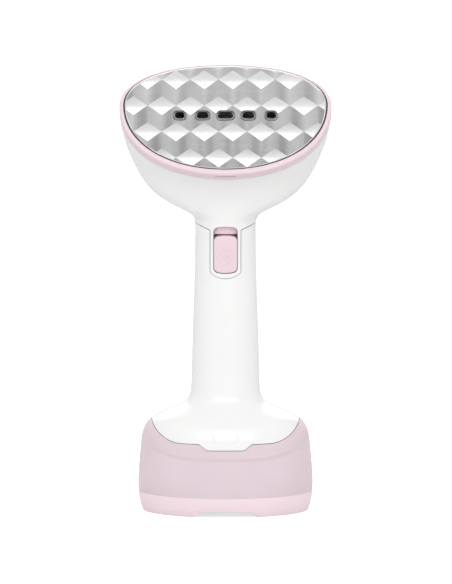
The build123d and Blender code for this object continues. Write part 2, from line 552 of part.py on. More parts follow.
with BuildPart() as soleplate:
    add(slab(PLATE_SIZE, PLATE_BACK, PLATE_PROUD, grow=-PLATE_FIT))
    fillet(soleplate.edges().group_by(Axis((0, 0, 0), FACE.z_dir))[-1], PLATE_ROUND)
    with BuildSketch(FACE.offset(PLATE_BACK)):
        for x, length in zip(OUTLET_X, OUTLET_LENGTH):
            with Locations((x, OUTLET_DROP)):
                SlotOverall(length + 2 * OUTLET_WALL + OUTLET_GAP, OUTLET_HEIGHT + 2 * OUTLET_WALL + OUTLET_GAP)
    extrude(amount=PLATE_PROUD - PLATE_BACK + OVER, mode=Mode.SUBTRACT)
    add(plate_post(EAR_PLACES, PLATE_BACK - OVER, PLATE_BACK + SCREW_DEEP, PILOT + 0.2), mode=Mode.SUBTRACT)
save(soleplate, "soleplate")

with BuildPart() as steam_nozzles:
    with BuildSketch(FACE.offset(PLATE_BACK)):
        for x, length in zip(OUTLET_X, OUTLET_LENGTH):
            with Locations((x, OUTLET_DROP)):
                SlotOverall(length + 2 * OUTLET_WALL, OUTLET_HEIGHT + 2 * OUTLET_WALL)
                SlotOverall(length, OUTLET_HEIGHT, mode=Mode.SUBTRACT)
    extrude(amount=PLATE_PROUD + OUTLET_PROUD - PLATE_BACK)
save(steam_nozzles, "steam_nozzles")

with BuildPart() as boiler_body:
    add(slab(BOILER_SIZE, BOILER_BACK, SEAL_BACK))
    add(plate_post(EAR_PLACES, EAR_BACK, SEAL_BACK, EAR_RADIUS))
    add(slab(BOILER_SIZE, CHAMBER_BACK, OVER, grow=-BOILER_RIM), mode=Mode.SUBTRACT)
    add(plate_post(EAR_PLACES, DEEP, OVER, PILOT + 0.3), mode=Mode.SUBTRACT)
    # Baffles that lead the steam round the chamber.
    for x in BAFFLE_X:
        with Locations(FACE * Location((x, OUTLET_DROP + BAFFLE_RISE, (CHAMBER_BACK + SEAL_BACK - OVER) / 2))):
            Box(BAFFLE_THICK, BAFFLE_LONG, SEAL_BACK - OVER - CHAMBER_BACK)
    # Groove for the heater and hole for the water inlet.
    add(heater_bar(-REGION / 2, HEATER_RADIUS + 0.02), mode=Mode.SUBTRACT)
    add(plate_post(EAR_PLACES, 2 * DEEP, EAR_BACK, EAR_HEAD + 0.3), mode=Mode.SUBTRACT)
    add(plate_post([(INLET_X, INLET_DROP)], 2 * DEEP, OVER, INLET_STEM + 0.05), mode=Mode.SUBTRACT)
save(boiler_body, "boiler_body")

with BuildPart() as boiler_gasket:
    add(slab(BOILER_SIZE, SEAL_BACK, PLATE_BACK))
    add(plate_post(EAR_PLACES, SEAL_BACK, PLATE_BACK, EAR_RADIUS))
    add(slab(BOILER_SIZE, DEEP, OVER, grow=-BOILER_RIM), mode=Mode.SUBTRACT)
    add(plate_post(EAR_PLACES, DEEP, OVER, PILOT + 0.4), mode=Mode.SUBTRACT)
save(boiler_gasket, "boiler_gasket")

with BuildPart() as boiler_screws:
    add(plate_post(EAR_PLACES, EAR_BACK - HEAD_TALL, EAR_BACK, EAR_HEAD))
    add(plate_post(EAR_PLACES, EAR_BACK, PLATE_BACK + SCREW_DEEP - 0.4, PILOT + 0.15))
    for x, q in EAR_PLACES:
        with BuildSketch(FACE.offset(EAR_BACK - HEAD_TALL)):
            with Locations((x, q)):
                RegularPolygon(HEX, 6)
        extrude(amount=DRIVE_DEEP, mode=Mode.SUBTRACT)
save(boiler_screws, "boiler_screws")

with BuildPart() as heating_element:
    add(heater_bar(HEATER_START, HEATER_RADIUS))
    for q in (HEATER_DROP - HEATER_HALF, HEATER_DROP + HEATER_HALF):
        with Locations(FACE.offset(BOILER_BACK) * Location((HEATER_START, q, 0))):
            Cylinder(TERMINAL_RADIUS, TERMINAL_LONG, rotation=(0, 90, 0))
save(heating_element, "heating_element")

with BuildPart() as boiler_inlet:
    place = [(INLET_X, INLET_DROP)]
    add(plate_post(place, BOILER_BACK - INLET_THICK, BOILER_BACK, INLET_FLANGE))
    add(plate_post(place, BOILER_BACK, CHAMBER_BACK - 1, INLET_STEM))
    add(plate_post(place, BOILER_BACK - INLET_BARB, BOILER_BACK, BARB))
    add(plate_post(place, 2 * DEEP, OVER, INLET_BORE), mode=Mode.SUBTRACT)
save(boiler_inlet, "boiler_inlet")

with BuildPart() as thermostat:
    for radius, low, high in THERMOSTAT:
        add(plate_post([(0, HEATER_DROP)], BOILER_BACK + low, BOILER_BACK + high, radius))
    for x in TAB_X:
        with Locations(FACE.offset(BOILER_BACK + TAB_LEVEL) * Location((x, HEATER_DROP, 0))):
            Box(*TAB_SIZE)
save(thermostat, "thermostat")

with BuildPart() as thermal_fuse:
    with Locations(FACE.offset(BOILER_BACK + FUSE_LEVEL) * Location((FUSE_X, HEATER_DROP, 0))):
        Cylinder(FUSE_RADIUS, FUSE_LONG, rotation=(0, 90, 0))
        Cylinder(LEAD_RADIUS, LEAD_LONG, rotation=(0, 90, 0))
        Box(*FUSE_CLIP, align=(Align.CENTER, Align.CENTER, Align.MIN))
save(thermal_fuse, "thermal_fuse")

# Strap that holds the boiler to the posts of the rear shell.
sheet = STRAP_FRONT - STRAP_BACK
with BuildPart() as boiler_strap:
    with BuildSketch(FACE.offset(STRAP_BACK)):
        with Locations((0, STRAP_DROP)):
            Rectangle(2 * STRAP_HALF, STRAP_TALL)
        with Locations(*STRAP_PLACES):
            Circle(PILOT + 0.2, mode=Mode.SUBTRACT)
    extrude(amount=sheet)
    with BuildSketch(FACE.offset(STRAP_BACK)):
        with Locations((-STRAP_HALF + sheet / 2, STRAP_DROP), (STRAP_HALF - sheet / 2, STRAP_DROP)):
            Rectangle(sheet, STRAP_TALL)
    extrude(amount=BOILER_BACK - STRAP_BACK)
save(boiler_strap, "boiler_strap")

with BuildPart() as strap_screws:
    add(plate_post(STRAP_PLACES, STRAP_FRONT, STRAP_FRONT + HEAD_TALL, STRAP_HEAD))
    add(plate_post(STRAP_PLACES, STRAP_BACK - POST_DEEP, STRAP_FRONT, SHANK))
save(strap_screws, "strap_screws")

# ---------------------------------------------------------------- water path in the handset
with BuildPart() as intake_nipple:
    with BuildSketch(Plane.XZ.offset(-INTAKE_Y)):
        with BuildLine():
            Polyline(*NIPPLE_OUTLINE)
        make_face()
    revolve(axis=Axis((0, INTAKE_Y, 0), (0, 0, 1)))
save(intake_nipple, "intake_nipple")

with BuildPart() as intake_oring:
    with BuildSketch(Plane.XZ.offset(-INTAKE_Y)):
        with Locations((ORING_RADIUS, ORING_Z)):
            Circle(ORING_WIRE)
    revolve(axis=Axis((0, INTAKE_Y, 0), (0, 0, 1)))
save(intake_oring, "intake_oring")

pump_low = WELL_FLOOR + WELL_WALL + COVER_GAP + COVER_WALL
pump_front = WELL_Y - PUMP_RADIUS
with BuildPart() as pump_motor:
    with BuildSketch(Plane.XY.offset(pump_low)):
        with Locations((0, WELL_Y)):
            Circle(PUMP_RADIUS)
    extrude(amount=PUMP_SPLIT - pump_low)
    chamfer(pump_motor.faces().sort_by(Axis.Z)[0].edges(), PUMP_ROUND)
save(pump_motor, "pump_motor")

with BuildPart() as pump_head:
    with BuildSketch(Plane.XY.offset(PUMP_SPLIT)):
        with Locations((0, WELL_Y)):
            Circle(PUMP_RADIUS)
    extrude(amount=PUMP_TOP - PUMP_SPLIT)
    fillet(pump_head.faces().sort_by(Axis.Z)[-1].edges(), PUMP_ROUND)
    with BuildSketch(Plane.XY.offset(PUMP_TOP - PORT_IN)):
        with Locations(OUTLET_PORT):
            Circle(BARB)
    extrude(amount=PORT_IN + PORT_LONG)
    add(post(0, PORT_Z, pump_front - PORT_LONG, pump_front + PORT_IN, BARB))
save(pump_head, "pump_head")

with BuildPart() as intake_hose:
    add(tube([(0, INTAKE_Y, 38.4), (0, INTAKE_Y, PORT_Z), (0, pump_front - HOSE_CLEAR, PORT_Z)],
             HOSE_RADIUS, HOSE_BORE))
save(intake_hose, "intake_hose")

inlet_end = FACE.from_local_coords((INLET_X, INLET_DROP, BOILER_BACK - INLET_THICK - HOSE_CLEAR))
inlet_lead = FACE.from_local_coords((INLET_X, INLET_DROP, BOILER_BACK + HOSE_LEAD))
with BuildPart() as water_hose:
    add(tube([(*OUTLET_PORT, PUMP_TOP + HOSE_CLEAR), (*OUTLET_PORT, HOSE_RISE), *HOSE_WAY,
              tuple(inlet_lead), tuple(inlet_end)], HOSE_RADIUS, HOSE_BORE))
save(water_hose, "water_hose")

# ---------------------------------------------------------------- trigger
with BuildPart() as trigger_carrier:
    add(envelope(WALL + CARRIER_GAP))
    add(box((-CARRIER_HALF, CARRIER_HALF), (-REGION, CARRIER_BACK), (CARRIER_LOW, CARRIER_HIGH)),
        mode=Mode.INTERSECT)
    hollow = box((-CARRIER_BORE, CARRIER_BORE), (-REGION, CARRIER_BACK - BRACKET_SIDE), (0, REGION_TOP))
    add(envelope(WALL + CARRIER_GAP + CARRIER_WALL) & hollow, mode=Mode.SUBTRACT)
    add(hollow & box((-REGION, REGION), (-REGION, REGION), (SLOT_LOW, BUTTON_HIGH + 0.6)), mode=Mode.SUBTRACT)
    add(box(*PLUNGER_WINDOW), mode=Mode.SUBTRACT)
    with Locations((0, PIVOT_Y, PIVOT_Z)):
        Cylinder(PIVOT_PIN + RUNNING, 4 * CARRIER_HALF, rotation=(0, 90, 0), mode=Mode.SUBTRACT)
save(trigger_carrier, "trigger_carrier")

pivot = Axis((0, PIVOT_Y, PIVOT_Z), (1, 0, 0))
grip_round = (Pos(0, 0, PIVOT_Z) * Cylinder(BUTTON_FRONT, REGION)).rotate(pivot, TRIGGER_SWING)
with BuildPart() as steam_trigger:
    add(arched(BUTTON_HALF, BUTTON_LOW, BUTTON_HIGH, BUTTON_BACK, -REGION) & grip_round)
    fillet(steam_trigger.faces().sort_by(Axis.Y)[0].edges(), BUTTON_ROUND)
    add(box(*BUTTON_HOLLOW), mode=Mode.SUBTRACT)
    add(box(*PLUNGER))
    add(box((-BUTTON_HALF, BUTTON_HALF), *PIVOT_BAR))
    with Locations((0, PIVOT_Y, PIVOT_Z)):
        Cylinder(PIVOT_PIN, 2 * CARRIER_HALF - 0.4, rotation=(0, 90, 0))
save(steam_trigger, "steam_trigger")

with BuildPart() as trigger_spring:
    with BuildLine() as coil:
        Helix(SPRING_PITCH, SPRING_LONG, SPRING_RADIUS, center=(0, SPRING_Y, SPRING_Z), direction=(0, 1, 0))
    with BuildSketch(Plane(origin=coil.line @ 0, z_dir=coil.line % 0)):
        Circle(SPRING_WIRE)
    sweep(path=coil.line)
save(trigger_spring, "trigger_spring")

with BuildPart() as switch_bracket:
    add(box((-BRACKET_HALF, BRACKET_HALF), (BRACKET_Y[1] - BRACKET_BACK, BRACKET_Y[1]), BRACKET_Z))
    add(box((-BRACKET_HALF, BRACKET_SIDE - BRACKET_HALF), BRACKET_Y, BRACKET_Z))
    add(box((BRACKET_HALF - BRACKET_SIDE, BRACKET_HALF), BRACKET_Y, BRACKET_Z))
save(switch_bracket, "switch_bracket")

with BuildPart() as micro_switch:
    add(box((-SWITCH_HALF, SWITCH_HALF), SWITCH_Y, (SWITCH_LOW, SWITCH_HIGH)))
    fillet(micro_switch.edges().filter_by(Axis.X), PIN_IN)
    add(box(*SWITCH_BUTTON))
    for y in SWITCH_PINS:
        add(box((-PIN_WIDE, PIN_WIDE), (y - PIN_HALF, y + PIN_HALF),
                (SWITCH_LOW - PIN_DOWN, SWITCH_LOW + PIN_IN)))
save(micro_switch, "micro_switch")

# ---------------------------------------------------------------- electrics and fasteners
with BuildPart() as circuit_board:
    add(box((BOARD_X - BOARD_WIDE / 2, BOARD_X + BOARD_WIDE / 2), (BOARD_Y, BOARD_Y + BOARD_THICK),
            (BOARD_LOW, BOARD_HIGH)))
    for z in BOARD_POSTS:
        add(post(BOARD_X, z, BOARD_Y - OVER, BOARD_Y + 2 * BOARD_THICK, BOARD_HOLE), mode=Mode.SUBTRACT)
save(circuit_board, "circuit_board")

with BuildPart() as board_components:
    for block in BLOCKS:
        add(box(*block))
    fillet(board_components.edges().filter_by(Axis.Y), 0.6)
    add(post(*CAPACITOR))
save(board_components, "board_components")

with BuildPart() as board_screws:
    for z in BOARD_POSTS:
        add(post(BOARD_X, z, BOARD_Y - BOARD_HEAD_TALL, BOARD_Y, BOARD_HEAD))
        add(post(BOARD_X, z, BOARD_Y, BOARD_Y + BOARD_DEEP - 1.5, BOARD_SHANK))
save(board_screws, "board_screws")

with BuildPart() as cord_gland:
    add(post(0, GLAND_Z, GLAND_SEAT, GLAND_OUT, GLAND_RADIUS + GLAND_LIP) - outer)
    fillet(cord_gland.edges().group_by(Axis.Y)[-1], GLAND_ROUND)
    add(post(0, GLAND_Z, GLAND_IN, GLAND_STEM, GLAND_RADIUS))
    add(post(0, GLAND_Z, 0, REGION, CABLE_BORE), mode=Mode.SUBTRACT)
save(cord_gland, "cord_gland")

with BuildPart() as housing_screws:
    for x, z in SCREW_PLACES:
        add(post(x, z, HEAD_Y, HEAD_Y + HEAD_TALL, RECESS - 0.2))
        add(post(x, z, SEAM_Y - POST_DEEP + 1, HEAD_Y, SHANK))
        with BuildSketch(Plane.XZ.offset(-HEAD_Y - HEAD_TALL)):
            with Locations((x, z)):
                Rectangle(CROSS_LONG, CROSS_WIDE)
                Rectangle(CROSS_WIDE, CROSS_LONG)
        extrude(amount=DRIVE_DEEP, mode=Mode.SUBTRACT)
save(housing_screws, "housing_screws")
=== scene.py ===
"""Looks of the handheld garment steamer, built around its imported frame, in metres.

The steam plate, its outlets and the raised marks are made here; every other piece is the frame's own node
with a procedural material. +Z is up and -Y is the front.
"""

import bmesh
import bpy
import json
from math import cos, pi, radians, sin
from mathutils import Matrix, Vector


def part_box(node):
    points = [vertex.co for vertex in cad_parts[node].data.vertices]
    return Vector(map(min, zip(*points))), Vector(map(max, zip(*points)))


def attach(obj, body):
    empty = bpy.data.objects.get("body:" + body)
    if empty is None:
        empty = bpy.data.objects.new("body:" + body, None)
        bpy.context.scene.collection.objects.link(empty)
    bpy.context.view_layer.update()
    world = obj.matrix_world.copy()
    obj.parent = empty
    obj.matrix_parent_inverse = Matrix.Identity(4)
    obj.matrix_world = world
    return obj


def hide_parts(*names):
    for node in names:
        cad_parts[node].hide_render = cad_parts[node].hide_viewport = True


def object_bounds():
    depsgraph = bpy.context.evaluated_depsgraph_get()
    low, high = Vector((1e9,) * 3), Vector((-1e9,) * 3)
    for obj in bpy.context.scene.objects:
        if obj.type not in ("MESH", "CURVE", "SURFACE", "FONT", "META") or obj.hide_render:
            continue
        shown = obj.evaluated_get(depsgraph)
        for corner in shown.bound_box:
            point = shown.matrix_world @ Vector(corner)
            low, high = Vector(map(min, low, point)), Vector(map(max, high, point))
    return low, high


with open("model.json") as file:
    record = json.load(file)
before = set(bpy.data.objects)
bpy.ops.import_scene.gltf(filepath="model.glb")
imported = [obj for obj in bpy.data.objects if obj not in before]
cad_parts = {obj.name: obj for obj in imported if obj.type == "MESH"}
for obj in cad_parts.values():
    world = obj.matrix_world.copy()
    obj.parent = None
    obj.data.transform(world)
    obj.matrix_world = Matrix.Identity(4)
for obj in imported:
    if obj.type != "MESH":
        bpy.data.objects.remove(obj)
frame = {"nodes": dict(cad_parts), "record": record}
cad_low, cad_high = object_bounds()

MM = 0.001
NODES = frame["nodes"]

# ---------------------------------------------------------------- the steam plate's frame
PLATE_TILT = radians(55)
PLATE_UP = Vector((0, cos(PLATE_TILT), sin(PLATE_TILT)))
PLATE_OUT = Vector((0, -sin(PLATE_TILT), cos(PLATE_TILT)))
PLATE_PROUD = 0.8 * MM          # plate's front above the face of its surround
DROP_SHARE = 0.6195             # share of the plate's height that lies below its widest line
FULL_UP, FULL_DOWN = 0.615, 0.585    # Bezier handles of the plate's outline

plate_points = [v.co for v in NODES["soleplate"].data.vertices]
plate_low = min(p.dot(PLATE_UP) for p in plate_points)
plate_high = max(p.dot(PLATE_UP) for p in plate_points)
plate_half = max(p.x for p in plate_points)
plate_drop = (plate_high - plate_low) * DROP_SHARE
plate_rise = plate_high - plate_low - plate_drop
face_level = max(p.dot(PLATE_OUT) for p in plate_points) - PLATE_PROUD
face_origin = PLATE_UP * (plate_low + plate_drop) + PLATE_OUT * face_level


def on_plate(x, up, out):
    """A point given across, up and out of the steam plate, in the scene's frame."""
    return face_origin + Vector((x, 0, 0)) + PLATE_UP * up + PLATE_OUT * out


# ---------------------------------------------------------------- mesh helpers
def new_object(name, mesh):
    made = bpy.data.objects.new(name, mesh)
    bpy.context.scene.collection.objects.link(made)
    return made


def mesh_of(name, points, faces):
    mesh = bpy.data.meshes.new(name)
    mesh.from_pydata(points, [], faces)
    mesh.update()
    return mesh


def weld(mesh, distance=0.001 * MM):
    """Joins points that coincide and turns every face outwards."""
    form = bmesh.new()
    form.from_mesh(mesh)
    bmesh.ops.remove_doubles(form, verts=form.verts, dist=distance)
    bmesh.ops.recalc_face_normals(form, faces=form.faces)
    form.to_mesh(mesh)
    form.free()
    return mesh


def soften(piece, angle):
    """Smooth shading, with edges sharper than the angle left crisp."""
    piece.data.shade_smooth()
    piece.data.set_sharp_from_angle(angle=angle)


def boolean(piece, cutter, operation):
    """Applies one boolean to the piece's mesh and removes the cutter."""
    step = piece.modifiers.new("cut", "BOOLEAN")
    step.operation = operation
    step.solver = "EXACT"
    step.object = cutter
    bpy.context.view_layer.update()
    done = bpy.data.meshes.new_from_object(piece.evaluated_get(bpy.context.evaluated_depsgraph_get()))
    piece.modifiers.clear()
    piece.data = done
    bpy.data.objects.remove(cutter)


def bezier(a, b, c, d, steps):
    """Points along one cubic Bezier span, without its last point."""
    found = []
    for i in range(steps):
        t = i / steps
        k = ((1 - t) ** 3, 3 * t * (1 - t) ** 2, 3 * t * t * (1 - t), t ** 3)
        found.append(tuple(sum(w * p[j] for w, p in zip(k, (a, b, c, d))) for j in (0, 1)))
    return found


def egg(grow, steps=32):
    """The steam plate's outline, anticlockwise from its lowest point."""
    half, up, down = plate_half + grow, plate_rise + grow, plate_drop + grow
    return (bezier((0, -down), (half * FULL_DOWN, -down), (half, -down * FULL_DOWN), (half, 0), steps)
            + bezier((half, 0), (half, up * FULL_UP), (half * FULL_UP, up), (0, up), steps)
            + bezier((0, up), (-half * FULL_UP, up), (-half, up * FULL_UP), (-half, 0), steps)
            + bezier((-half, 0), (-half, -down * FULL_DOWN), (-half * FULL_DOWN, -down), (0, -down), steps))


def ring_of(loops):
    """Points and faces of a closed band through loops of equal length, the last joined to the first."""
    count = len(loops[0])
    points = [p for loop in loops for p in loop]
    faces = []
    for i in range(len(loops)):
        a, b = i * count, (i + 1) % len(loops) * count
        for j in range(count):
            k = (j + 1) % count
            faces.append((a + j, a + k, b + k, b + j))
    return points, faces


def gather(parts):
    """Joins several pairs of points and faces into one pair."""
    points, faces = [], []
    for some, these in parts:
        faces += [tuple(len(points) + i for i in face) for face in these]
        points += some
    return points, faces


def prism(name, outline, low, high):
    """A closed block of that outline between two levels of the plate's frame."""
    count = len(outline)
    points = [on_plate(x, up, level) for level in (low, high) for x, up in outline]
    sides = [(j, (j + 1) % count, count + (j + 1) % count, count + j) for j in range(count)]
    return mesh_of(name, points, [tuple(reversed(range(count))), tuple(range(count, 2 * count)), *sides])


# ---------------------------------------------------------------- steam plate with its tumbling-block relief
BLOCK_HALF, BLOCK_RISE = 8.3 * MM, 5.77 * MM         # half width and half height of one rhombus
BLOCK_X, BLOCK_UP = 4.3 * MM, 17.1 * MM              # middle of one rhombus of the highest row
RELIEF = 0.62 * MM                                   # height of a tip above the corners beside it
LAND = 0.6 * MM                                      # width of the polished edge
SUNK = 0.05 * MM                                     # highest tip below the polished edge
ROWS, COLUMNS = range(-2, 4), range(-6, 6)           # rhombi that cover the plate and more
FACET_CORNER = radians(4.5)                          # edges sharper than this stay crisp
PLATE_BOTTOM = -2.7 * MM
CUT_LOW, CUT_HIGH = PLATE_BOTTOM - 1 * MM, 5 * MM    # levels past the plate's back and front
LAP = 0.1 * MM                                       # relief and polished edge overlap by this
OUTLET_UP = -6.8 * MM
OUTLETS = [(x * MM, length * MM) for x, length in
           ((-26.7, 5.6), (-13.35, 6.9), (0, 8.8), (13.35, 6.9), (26.7, 5.6))]
OUTLET_HALF_HIGH = 2.25 * MM
OUTLET_SQUARENESS = 2.5
OUTLET_LAP = 0.05 * MM                               # outlet's collar and plate overlap by this
OUTLET_CORNER = radians(40)
PATCH = 8                                            # divisions along each side of a facet


def capsule(length, grow, steps=12):
    """A slot's outline round the origin with slightly squared ends, anticlockwise."""
    high = OUTLET_HALF_HIGH + grow
    offset = length / 2 - OUTLET_HALF_HIGH
    power = 2 / OUTLET_SQUARENESS
    found = []
    for side in (1, -1):
        for i in range(steps + 1):
            angle = -pi / 2 + pi * i / steps
            across = max(cos(angle), 0.0) ** power * high
            up = abs(sin(angle)) ** power * high * (1 if angle > 0 else -1)
            found.append((side * (offset + across), side * up))
    return found


def facet(points, faces, place):
    """Adds one facet, given as a function of two shares from 0 to 1."""
    first = len(points)
    for i in range(PATCH + 1):
        for j in range(PATCH + 1):
            points.append(place(i / PATCH, j / PATCH))
    for i in range(PATCH):
        for j in range(PATCH):
            a = first + i * (PATCH + 1) + j
            faces.append((a, a + 1, a + PATCH + 2, a + PATCH + 1))


def relief_mesh():
    """Rows of raised rhombi over fluted sides, wider than the plate, closed by a flat back."""
    level = PLATE_PROUD - RELIEF - SUNK
    points, faces = [], []
    for row in ROWS:
        up = BLOCK_UP - 3 * BLOCK_RISE * row
        for i in COLUMNS:
            x = BLOCK_X + 2 * BLOCK_HALF * i + (BLOCK_HALF if row % 2 else 0)

            def top(a, b, x=x, up=up):
                return on_plate(x + BLOCK_HALF * (a - b), up + BLOCK_RISE * (1 - a - b),
                                level + RELIEF * (1 - a * a - b * b))

            facet(points, faces, top)
            for side in (-1, 1):
                def flute(a, b, x=x, up=up, side=side):
                    return on_plate(x + side * BLOCK_HALF * (1 - a), up - BLOCK_RISE * (a + 2 * b),
                                    level + RELIEF * (b - a * a))

                facet(points, faces, flute)
    mesh = weld(mesh_of("soleplate_relief", points, faces))
    form = bmesh.new()
    form.from_mesh(mesh)
    rim = [e for e in form.edges if e.is_boundary]
    drop = bmesh.ops.extrude_edge_only(form, edges=rim)["geom"]
    back = face_level + PLATE_BOTTOM
    for v in (g for g in drop if isinstance(g, bmesh.types.BMVert)):
        v.co += PLATE_OUT * (back - v.co.dot(PLATE_OUT))
    bmesh.ops.contextual_create(form, geom=[g for g in drop if isinstance(g, bmesh.types.BMEdge)])
    bmesh.ops.recalc_face_normals(form, faces=form.faces)
    form.to_mesh(mesh)
    form.free()
    return mesh


def plate_land():
    """The polished edge: a rounded band round the relief, down to the plate's back."""
    profile = [(-LAND - 0.35 * MM, PLATE_BOTTOM + 0.4 * MM), (-LAND - 0.35 * MM, -0.3 * MM),
               (-LAND, PLATE_PROUD - 0.25 * MM), (-LAND + 0.12 * MM, PLATE_PROUD - 0.06 * MM),
               (-LAND + 0.3 * MM, PLATE_PROUD), (-0.33 * MM, PLATE_PROUD - 0.02 * MM),
               (-0.14 * MM, PLATE_PROUD - 0.12 * MM), (-0.03 * MM, PLATE_PROUD - 0.32 * MM),
               (0, PLATE_PROUD - 0.6 * MM), (0, PLATE_BOTTOM + 0.4 * MM)]
    loops = [[on_plate(x, up, out) for x, up in egg(grow)] for grow, out in profile]
    return weld(mesh_of("plate_land", *ring_of(loops)))


def make_soleplate():
    piece = new_object("soleplate_relief", relief_mesh())
    inside = prism("plate_inside", egg(-LAND + LAP), CUT_LOW, CUT_HIGH)
    boolean(piece, new_object("plate_inside", weld(inside)), "INTERSECT")
    boolean(piece, new_object("plate_land", plate_land()), "UNION")
    for x, length in OUTLETS:
        outline = [(x + a, OUTLET_UP + b) for a, b in capsule(length, OUTLET_REACH - OUTLET_LAP)]
        hole = prism("outlet_hole", outline, CUT_LOW, CUT_HIGH)
        boolean(piece, new_object("outlet_hole", weld(hole)), "DIFFERENCE")
    soften(piece, FACET_CORNER)
    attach(piece, "handset")
    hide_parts("soleplate")
    return piece


# Outlets: how far each loop stands outside the hole, and its level above the surround's face, in mm.
OUTLET_PROFILE = [
    (0, -2.6), (0, 0.2), (0.05, 0.42), (0.16, 0.5), (0.27, 0.46), (0.32, 0.2), (0.35, -1.4), (0.62, -1.4),
    (0.65, 0.5), (0.71, 0.74), (0.82, 0.84), (0.98, 0.84), (1.07, 0.7), (1.11, 0.4), (1.13, -1.2),
    (1.4, -1.2), (1.4, -2.6),
]
OUTLET_REACH = OUTLET_PROFILE[-1][0] * MM


def make_outlets():
    """The five steam outlets: an inner lip and a collar round each slot, with grooves beside it."""
    rings = []
    for x, length in OUTLETS:
        loops = [[on_plate(x + a, OUTLET_UP + b, level * MM) for a, b in capsule(length, grow * MM)]
                 for grow, level in OUTLET_PROFILE]
        rings.append(ring_of(loops))
    piece = new_object("steam_outlets", weld(mesh_of("steam_outlets", *gather(rings))))
    soften(piece, OUTLET_CORNER)
    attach(piece, "handset")
    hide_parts("steam_nozzles")
    return piece


# ---------------------------------------------------------------- raised marks
MARK_CORNER = radians(50)
# Section of a raised line: shares of its half width and of its height.
RIDGE = [(-1.0, -0.5), (-0.92, 0.35), (-0.6, 0.85), (0, 1.0), (0.6, 0.85), (0.92, 0.35), (1.0, -0.5)]
RAY_START = 10 * MM                                  # in front of the part
FRAME_UP, FRAME_RADIUS = 7.2 * MM, 0.9 * MM          # blank frame: middle above the cover's lowest point
FRAME_HALF_WIDE, FRAME_HALF_HIGH = 7.2 * MM, 2.1 * MM
FRAME_LINE, SIGN_LINE = (0.34 * MM, 0.2 * MM), (0.46 * MM, 0.26 * MM)    # half width and height of the lines
SIGN_SHARE = 0.44                                    # sign's middle, as a share of the trigger's height
LOZENGE = [(4.9, 0.5), (4.4, 1.3), (0.9, 4.5), (-0.9, 4.5), (-4.4, 1.3), (-4.9, 0.5), (-4.4, -0.3),
           (-0.9, -3.9), (0.9, -3.9), (4.4, -0.3)]   # corners of the trigger's sign, in mm
LOZENGE_STEPS = 8                                    # points along each of its sides
SHAFT_STEP, SHAFT_LOW = 0.4, -2.2                    # arrow in the sign, in mm
BARB_STEP, TIP = 0.3, 1.0


def on_front(node, x, z):
    """Where a line along +Y at that place meets the node's front, and the surface's normal there."""
    start = Vector((x, cad_low.y - RAY_START, z))
    hit, place, normal, _ = NODES[node].ray_cast(start, Vector((0, 1, 0)))
    if not hit:
        raise RuntimeError(f"nothing of {node} at {x}, {z}")
    return place, normal


def raised_line(node, path, half, proud, closed=False):
    """Points and faces of a low rounded ridge on the node's front, along a path of x, z pairs."""
    count, loops = len(path), []
    for i, (x, z) in enumerate(path):
        before = path[(i - 1) % count if closed else max(i - 1, 0)]
        after = path[(i + 1) % count if closed else min(i + 1, count - 1)]
        place, normal = on_front(node, x, z)
        along = Vector((after[0] - before[0], 0, after[1] - before[1])).normalized()
        side = normal.cross(along).normalized()
        loops.append([place + side * (a * half) + normal * (b * proud) for a, b in RIDGE])
    if closed:
        return ring_of(loops)
    points, faces = ring_of(loops)
    width = len(RIDGE)
    faces = faces[:-width]
    faces += [tuple(range(width)), tuple(reversed(range(len(points) - width, len(points))))]
    return points, faces


def raised_mark(name, node, lines, half, proud, body, slot):
    """One piece of raised lines, each given as a path and whether it is closed."""
    ridges = [raised_line(node, path, half, proud, closed) for path, closed in lines]
    piece = new_object(name, weld(mesh_of(name, *gather(ridges))))
    soften(piece, MARK_CORNER)
    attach(piece, body)
    return piece


def rounded_frame(x, z, half_wide, half_high, radius, steps=6):
    """A rectangle's outline with round corners."""
    found = []
    for quarter, (sx, sz) in enumerate(((1, 1), (-1, 1), (-1, -1), (1, -1))):
        for i in range(steps + 1):
            angle = pi / 2 * (quarter + i / steps)
            found.append((x + sx * (half_wide - radius) + radius * cos(angle),
                          z + sz * (half_high - radius) + radius * sin(angle)))
    return found


def make_marks():
    # Blank frame low on the front of the handset. Its lines take the greyer satin white as painted shade, so
    # they show against the gloss shell.
    low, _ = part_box("front_cover")
    outline = rounded_frame(0, low.z + FRAME_UP, FRAME_HALF_WIDE, FRAME_HALF_HIGH, FRAME_RADIUS)
    badge = raised_mark("blank_frame", "front_cover", [(outline, True)], *FRAME_LINE, "handset",
                        "white_inner")
    # Sign on the trigger: an arrow in a lozenge.
    low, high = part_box("steam_trigger")
    middle = low.z + SIGN_SHARE * (high.z - low.z)
    lozenge = []
    for (ax, az), (bx, bz) in zip(LOZENGE, LOZENGE[1:] + LOZENGE[:1]):
        lozenge += [((ax + (bx - ax) * i / LOZENGE_STEPS) * MM,
                     middle + (az + (bz - az) * i / LOZENGE_STEPS) * MM) for i in range(LOZENGE_STEPS)]
    shaft = [(0, middle + (SHAFT_STEP * i + SHAFT_LOW) * MM) for i in range(9)]
    head = [(BARB_STEP * i * MM, middle + (TIP - BARB_STEP * abs(i)) * MM) for i in range(-5, 6)]
    lines = [(lozenge, True), (shaft, False), (head, False)]
    sign = raised_mark("steam_sign", "steam_trigger", lines, *SIGN_LINE, "steam_trigger", "pink_button")
    return badge, sign


# ---------------------------------------------------------------- materials
NOISE_LOW, NOISE_HIGH = 0.3, 0.7        # stretch of the noise that the tones and the roughness span
EDGE_LOW, EDGE_HIGH = 0.52, 0.6         # pointiness of an edge where wear starts and is full
WORN_GAIN, WORN_LIFT = 1.25, 0.06       # worn colour against the plain one


def node_of(tree, kind, **values):
    made = tree.nodes.new(kind)
    for key, value in values.items():
        made.inputs[key.replace("_", " ")].default_value = value
    return made


